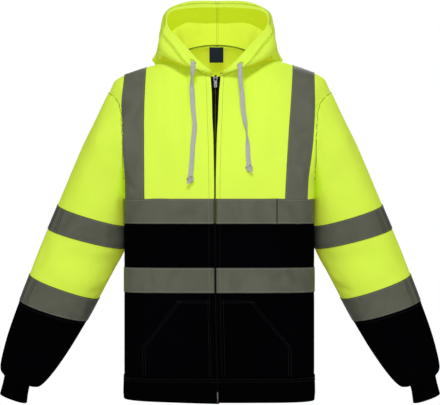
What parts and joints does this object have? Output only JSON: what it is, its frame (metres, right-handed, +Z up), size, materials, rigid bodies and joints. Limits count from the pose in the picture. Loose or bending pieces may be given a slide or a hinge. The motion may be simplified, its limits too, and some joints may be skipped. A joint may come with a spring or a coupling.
{
  "type": "high-visibility hoodie",
  "caption": "Zip-front high-visibility hooded sweatshirt, yellow over black, with reflective bands, patch pockets, drawcords and ribbed cuffs and hem, filled out as worn.",
  "frame": {"origin": "midway between the shoulders at the height of the neck's sides, where a wearer's shoulders carry the garment", "axes": "+X to the wearer's left, -Y out of the chest, +Z up"},
  "size_m": [0.91, 0.3195, 0.8394],
  "materials": {
    "yellow_fleece": "matte fluorescent yellow brushed-back fleece with a fine knit face",
    "black_fleece": "matte black brushed-back fleece",
    "black_rib": "black knitted rib",
    "reflective_tape": "grey retroreflective tape, fine glass-bead face, low sheen",
    "zip_fabric": "woven black zip tape",
    "zip_teeth": "dark moulded teeth",
    "zip_metal": "silver plated, slightly worn",
    "cord_cotton": "flat braided light grey cord",
    "label_satin": "bare navy woven label"
  },
  "bodies": {
    "garment": {"front_upper_left": "yellow_fleece", "front_lower_left": "black_fleece", "front_upper_right": "yellow_fleece", "front_lower_right": "black_fleece", "back_upper": "yellow_fleece", "back_lower": "black_fleece", "hem_band": "black_rib", "sleeve_upper_left": "yellow_fleece", "sleeve_lower_left": "black_fleece", "cuff_left": "black_rib", "tape_sleeve_top_left": "reflective_tape", "tape_sleeve_low_left": "reflective_tape", "sleeve_upper_right": "yellow_fleece", "sleeve_lower_right": "black_fleece", "cuff_right": "black_rib", "tape_sleeve_top_right": "reflective_tape", "tape_sleeve_low_right": "reflective_tape", "hood_left": "yellow_fleece", "hood_hem_left": "yellow_fleece", "hood_right": "yellow_fleece", "hood_hem_right": "yellow_fleece", "pocket_left": "black_fleece", "tape_chest_front_left": "reflective_tape", "tape_waist_front_left": "reflective_tape", "pocket_right": "black_fleece", "tape_chest_front_right": "reflective_tape", "tape_waist_front_right": "reflective_tape", "tape_chest_back": "reflective_tape", "tape_waist_back": "reflective_tape", "tape_shoulder_left": "reflective_tape", "tape_shoulder_right": "reflective_tape", "zip_tape_left": "zip_fabric", "zip_tape_right": "zip_fabric", "zip_chain": "zip_teeth", "zip_slider": "zip_metal", "zip_box": "zip_metal", "neck_label": "label_satin", "drawcord_left": "cord_cotton", "drawcord_knot_left": "cord_cotton", "drawcord_right": "cord_cotton", "drawcord_knot_right": "cord_cotton"},
    "pull_tab": {"zip_pull": "zip_metal"}
  },
  "joints": [
    {"name": "pull_tab_hinge", "type": "hinge", "parent": "garment", "child": "pull_tab", "pos_m": [-0.00909, -0.09454, -0.0383], "axis": [-1, 0, 0], "range_deg": [0, 150]}
  ]
}
